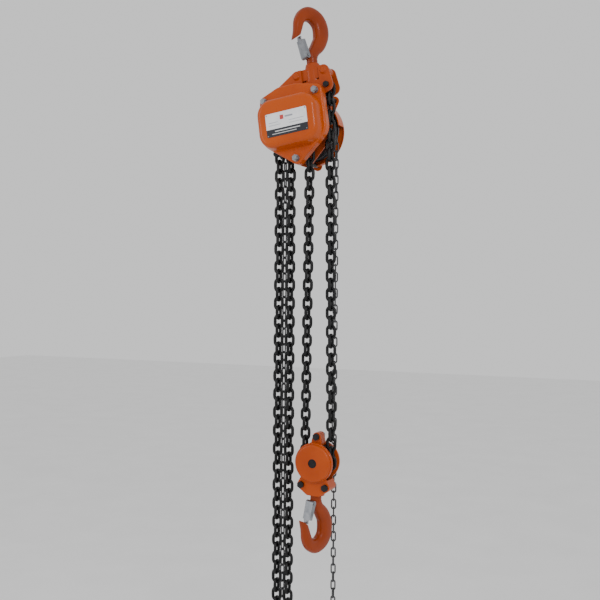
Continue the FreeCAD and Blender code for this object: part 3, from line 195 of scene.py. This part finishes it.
def twisted(places, most_deg, ease):
    """The hand chain hangs with a slow twist that dies out towards its wheel and its bottom bend.

    The strand to the right of the wheel's axle turns the other way."""
    wheel_room, bend_room = 0.22, 0.20
    wander, waves = 0.12, 9.0  # the twist grows and shrinks by this share, in slow waves
    z_top, z_low = places[0][0][2], places[-1][0][2]
    turned = []
    for centre, (along, across, normal) in places:
        room = min(z_top - wheel_room - centre[2], centre[2] - z_low - bend_room)
        share = min(max(room / ease, 0.0), 1.0)
        turn = math.radians(most_deg) * share * share * (3 - 2 * share)
        turn *= 1.0 + wander * math.sin(centre[2] * waves)
        turn *= -1.0 if centre[0] > SHEAVE_X else 1.0
        c, s = math.cos(turn), math.sin(turn)
        turned.append((centre, np.array([along, across * c + normal * s, normal * c - across * s])))
    return turned


hand_places = twisted(link_places("hand_chain"), 24.0, 0.35)
hand = chain_piece("hand_chain_links", hand_places, hand_link, "frame")
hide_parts("hand_chain")


# ---- latch springs: the ring with the long leg turns with the latch, the others stay on the hook ---
def spring_piece(name, obj, chosen, body):
    """A new piece from the chosen solids of a CAD spring."""
    co, groups = labelled(obj)
    faces = [tuple(p.vertices) for p in obj.data.polygons if groups[p.vertices[0]] in chosen]
    used = sorted({v for face in faces for v in face})
    place = {v: i for i, v in enumerate(used)}
    mesh = bpy.data.meshes.new(name)
    mesh.from_pydata(co[used].tolist(), [], [tuple(place[v] for v in face) for face in faces])
    mesh.polygons.foreach_set("use_smooth", [True] * len(mesh.polygons))
    piece = bpy.data.objects.new(name, mesh)
    bpy.context.scene.collection.objects.link(piece)
    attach(piece, body)
    return piece


spring_objects = []
for end in ("top", "load"):
    spring = frame["nodes"][end + "_latch_spring"]
    co, groups = labelled(spring)
    reach = {g: float(np.linalg.norm(np.ptp(co[groups == g], axis=0))) for g in np.unique(groups)}
    long_leg = max(reach, key=reach.get)
    moving = spring_piece(end + "_latch_spring_leg", spring, {long_leg}, end + "_latch")
    fixed = spring_piece(end + "_latch_spring_coil", spring, set(reach) - {long_leg}, end + "_hook")
    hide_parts(end + "_latch_spring")
    spring_objects += [moving, fixed]


# ---- materials -------------------------------------------------------------------------------------
def node_tree(name):
    mat = bpy.data.materials.new(name)
    mat.use_nodes = True
    tree = mat.node_tree
    bsdf = tree.nodes["Principled BSDF"]
    return mat, tree, bsdf


def noise(tree, scale, detail=4.0, rough=0.55, stretch=None):
    coords = tree.nodes.new("ShaderNodeNewGeometry")
    out = tree.nodes.new("ShaderNodeTexNoise")
    out.inputs["Scale"].default_value = scale
    out.inputs["Detail"].default_value = detail
    out.inputs["Roughness"].default_value = rough
    if stretch:
        mapping = tree.nodes.new("ShaderNodeMapping")
        mapping.inputs["Scale"].default_value = stretch
        tree.links.new(coords.outputs["Position"], mapping.inputs["Vector"])
        tree.links.new(mapping.outputs["Vector"], out.inputs["Vector"])
    else:
        tree.links.new(coords.outputs["Position"], out.inputs["Vector"])
    return out.outputs["Fac"]


def ramp(tree, value, stops):
    node = tree.nodes.new("ShaderNodeValToRGB")
    elements = node.color_ramp.elements
    while len(elements) < len(stops):
        elements.new(0.5)
    for element, (position, colour) in zip(elements, stops):
        element.position = position
        element.color = (*colour, 1.0)
    tree.links.new(value, node.inputs["Fac"])
    return node.outputs["Color"]


def remap(tree, value, low, high):
    node = tree.nodes.new("ShaderNodeMapRange")
    node.inputs["To Min"].default_value = low
    node.inputs["To Max"].default_value = high
    tree.links.new(value, node.inputs["Value"])
    return node.outputs["Result"]


def bump(tree, bsdf, value, distance, strength=1.0):
    node = tree.nodes.new("ShaderNodeBump")
    node.inputs["Distance"].default_value = distance
    node.inputs["Strength"].default_value = strength
    tree.links.new(value, node.inputs["Height"])
    tree.links.new(node.outputs["Normal"], bsdf.inputs["Normal"])


def paint(name, colour, dark, rough=0.28):
    """Enamel: slight mottling, orange peel and a thin clear coat."""
    mat, tree, bsdf = node_tree(name)
    mottle = noise(tree, 9.0, 5.0)
    tree.links.new(ramp(tree, mottle, [(0.3, dark), (0.62, colour)]), bsdf.inputs["Base Color"])
    tree.links.new(remap(tree, noise(tree, 60.0), rough - 0.06, rough + 0.1), bsdf.inputs["Roughness"])
    bsdf.inputs["Specular IOR Level"].default_value = 0.18
    bsdf.inputs["Coat Weight"].default_value = 0.14
    bsdf.inputs["Coat Roughness"].default_value = 0.08
    bump(tree, bsdf, noise(tree, 260.0, 2.0), 0.0003, 0.22)
    return mat


def metal(name, colour, dark, rough, metallic=1.0, grain=180.0, relief=0.12, stretch=None):
    mat, tree, bsdf = node_tree(name)
    tone = noise(tree, grain * 0.25, 6.0, stretch=stretch)
    tree.links.new(ramp(tree, tone, [(0.28, dark), (0.68, colour)]), bsdf.inputs["Base Color"])
    bsdf.inputs["Metallic"].default_value = metallic
    tree.links.new(remap(tree, noise(tree, grain), rough - 0.08, rough + 0.12), bsdf.inputs["Roughness"])
    bump(tree, bsdf, noise(tree, grain * 2.0, 3.0, stretch=stretch), 0.0003, relief)
    return mat


def plate_material():
    """The capacity plate: white above, a dark band below, and plain bars where print would be."""
    mat, tree, bsdf = node_tree("label")
    low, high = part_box("capacity_plate")
    centre = (Vector(low) + Vector(high)) / 2
    coords = tree.nodes.new("ShaderNodeNewGeometry")
    shift = tree.nodes.new("ShaderNodeVectorMath")
    shift.operation = "SUBTRACT"
    shift.inputs[1].default_value = centre
    tree.links.new(coords.outputs["Position"], shift.inputs[0])
    turn = tree.nodes.new("ShaderNodeVectorRotate")
    turn.rotation_type = "Y_AXIS"
    turn.inputs["Angle"].default_value = math.radians(LEAN_DEG)
    tree.links.new(shift.outputs["Vector"], turn.inputs["Vector"])
    split = tree.nodes.new("ShaderNodeSeparateXYZ")
    tree.links.new(turn.outputs["Vector"], split.inputs["Vector"])

    def inside(socket, low_end, high_end):
        node = tree.nodes.new("ShaderNodeMath")
        node.operation = "COMPARE"
        node.inputs[1].default_value = (low_end + high_end) / 2
        node.inputs[2].default_value = (high_end - low_end) / 2
        tree.links.new(split.outputs[socket], node.inputs[0])
        return node.outputs["Value"]

    def both(one, two):
        node = tree.nodes.new("ShaderNodeMath")
        node.operation = "MULTIPLY"
        tree.links.new(one, node.inputs[0])
        tree.links.new(two, node.inputs[1])
        return node.outputs["Value"]

    def over(colour, mask, top):
        node = tree.nodes.new("ShaderNodeMix")
        node.data_type = "RGBA"
        tree.links.new(mask, node.inputs["Factor"])
        if isinstance(colour, tuple):
            node.inputs["A"].default_value = (*colour, 1.0)
        else:
            tree.links.new(colour, node.inputs["A"])
        node.inputs["B"].default_value = (*top, 1.0)
        return node.outputs["Result"]

    colour = ramp(tree, noise(tree, 40.0), [(0.3, (0.74, 0.75, 0.78)), (0.7, (0.84, 0.84, 0.85))])
    colour = over(colour, inside("Z", -0.045, -0.0125), (0.012, 0.014, 0.022))
    # left and right end, bottom and top end of each bar, from the middle of the plate, and its ink
    bars = [
        ((-0.020, -0.008), (0.012, 0.025), (0.50, 0.045, 0.04)),
        ((-0.004, 0.022), (0.016, 0.021), (0.30, 0.31, 0.36)),
        ((-0.058, -0.028), (0.006, 0.008), (0.42, 0.43, 0.48)),
        ((0.008, 0.056), (0.004, 0.006), (0.42, 0.43, 0.48)),
        ((-0.058, -0.020), (-0.002, 0.000), (0.46, 0.47, 0.50)),
        ((0.008, 0.050), (-0.004, -0.002), (0.46, 0.47, 0.50)),
        ((-0.040, 0.042), (-0.0215, -0.0185), (0.62, 0.62, 0.62)),
        ((-0.050, 0.030), (-0.0285, -0.0262), (0.50, 0.50, 0.50)),
    ]
    for (x0, x1), (z0, z1), ink in bars:
        colour = over(colour, both(inside("X", x0, x1), inside("Z", z0, z1)), ink)
    tree.links.new(colour, bsdf.inputs["Base Color"])
    bsdf.inputs["Roughness"].default_value = 0.35
    bump(tree, bsdf, noise(tree, 90.0), 0.0002, 0.08)
    return mat


ORANGE, ORANGE_DARK = (0.50, 0.078, 0.003), (0.42, 0.058, 0.003)
materials = {
    "cover_paint": paint("cover_paint", ORANGE, ORANGE_DARK, 0.27),
    "frame_paint": paint("frame_paint", (0.42, 0.060, 0.003), (0.32, 0.042, 0.003), 0.36),
    "hook_paint": paint("hook_paint", (0.27, 0.034, 0.001), (0.20, 0.023, 0.001), 0.34),
    "block_paint": paint("block_paint", (0.46, 0.066, 0.003), (0.37, 0.048, 0.003), 0.33),
    "zinc_steel": metal("zinc_steel", (0.34, 0.35, 0.37), (0.21, 0.22, 0.24), 0.34, 0.95, 220.0, 0.12),
    "black_steel": metal("black_steel", (0.022, 0.022, 0.025), (0.008, 0.008, 0.010),
                         0.42, 0.6, 200.0, 0.18),
    "load_chain": metal("load_chain", (0.012, 0.012, 0.013), (0.004, 0.004, 0.004), 0.42, 0.5, 240.0, 0.25),
    "hand_chain": metal("hand_chain", (0.10, 0.10, 0.105), (0.04, 0.04, 0.042), 0.42, 0.75, 320.0, 0.2),
    "gear_steel": metal("gear_steel", (0.40, 0.40, 0.41), (0.26, 0.26, 0.27), 0.34, 0.95, 160.0, 0.12),
    "cast_wheel": metal("cast_wheel", (0.07, 0.07, 0.075), (0.035, 0.035, 0.038), 0.55, 0.5, 110.0, 0.4),
    "friction_lining": metal("friction_lining", (0.17, 0.11, 0.07), (0.10, 0.06, 0.04),
                             0.8, 0.0, 140.0, 0.5),
    "bronze_bush": metal("bronze_bush", (0.55, 0.38, 0.17), (0.42, 0.28, 0.11), 0.32, 0.95, 150.0, 0.1),
    "label": plate_material(),
}
slot_of = {part["node"]: part["material_slot"] for part in RECORD["subparts"]}
for name, obj in frame["nodes"].items():
    obj.data.materials.clear()
    obj.data.materials.append(materials[slot_of[name]])
for obj in chain_objects:
    obj.data.materials.append(materials["load_chain"])
hand.data.materials.append(materials["hand_chain"])
for obj in spring_objects:
    obj.data.materials.append(materials["zinc_steel"])


# ---- stage, light, camera --------------------------------------------------------------------------
def white_floor():
    mesh = bpy.data.meshes.new("floor")
    z, half = cad_box[0][2] - 0.25, 14.0
    corners = [(-half, -half, z), (half, -half, z), (half, half, z), (-half, half, z)]
    mesh.from_pydata(corners, [], [(0, 1, 2, 3)])
    obj = bpy.data.objects.new("floor", mesh)
    bpy.context.scene.collection.objects.link(obj)
    mat, tree, bsdf = node_tree("floor")
    pale = ramp(tree, noise(tree, 3.0), [(0.3, (0.86, 0.86, 0.86)), (0.7, (0.90, 0.90, 0.90))])
    tree.links.new(pale, bsdf.inputs["Base Color"])
    bsdf.inputs["Roughness"].default_value = 0.9
    obj.data.materials.append(mat)


def area_light(name, place, target, size, power):
    light = bpy.data.lights.new(name, "AREA")
    light.shape = "RECTANGLE"
    light.size, light.size_y = size
    light.energy = power
    obj = bpy.data.objects.new(name, light)
    obj.location = place
    obj.rotation_euler = (Vector(target) - Vector(place)).to_track_quat("-Z", "Y").to_euler()
    bpy.context.scene.collection.objects.link(obj)


white_floor()
world = bpy.data.worlds.new("studio")
bpy.context.scene.world = world
world.use_nodes = True
world.node_tree.nodes["Background"].inputs["Color"].default_value = (1.0, 1.0, 1.0, 1.0)
world.node_tree.nodes["Background"].inputs["Strength"].default_value = 0.85
area_light("key", (2.6, -3.0, 0.9), (0, 0, -0.7), (1.0, 2.0), 60)
area_light("left", (-2.4, -2.2, -0.2), (0, 0, -0.8), (0.8, 2.0), 18)

# the photo's camera: level, to the right of the front, and rolled by under half a degree
azimuth, roll = math.radians(24.5), math.radians(0.45)
camera_place, lens_mm = (1.0266, -2.2916, -0.8468), 49.56
camera_data = bpy.data.cameras.new("camera")
camera_data.sensor_width = 36.0
camera_data.lens = lens_mm
camera_data.clip_end = 60.0
camera_data.dof.use_dof = False
camera = bpy.data.objects.new("camera", camera_data)
right = Vector((math.cos(azimuth), math.sin(azimuth), 0.0))
ahead = Vector((-math.sin(azimuth), math.cos(azimuth), 0.0))
up = Vector((0.0, 0.0, 1.0))
tilted_right = right * math.cos(roll) + up * math.sin(roll)
tilted_up = up * math.cos(roll) - right * math.sin(roll)
rotation = Matrix((tilted_right, tilted_up, -ahead)).transposed().to_4x4()
camera.matrix_world = Matrix.Translation(camera_place) @ rotation
bpy.context.scene.collection.objects.link(camera)
bpy.context.scene.camera = camera
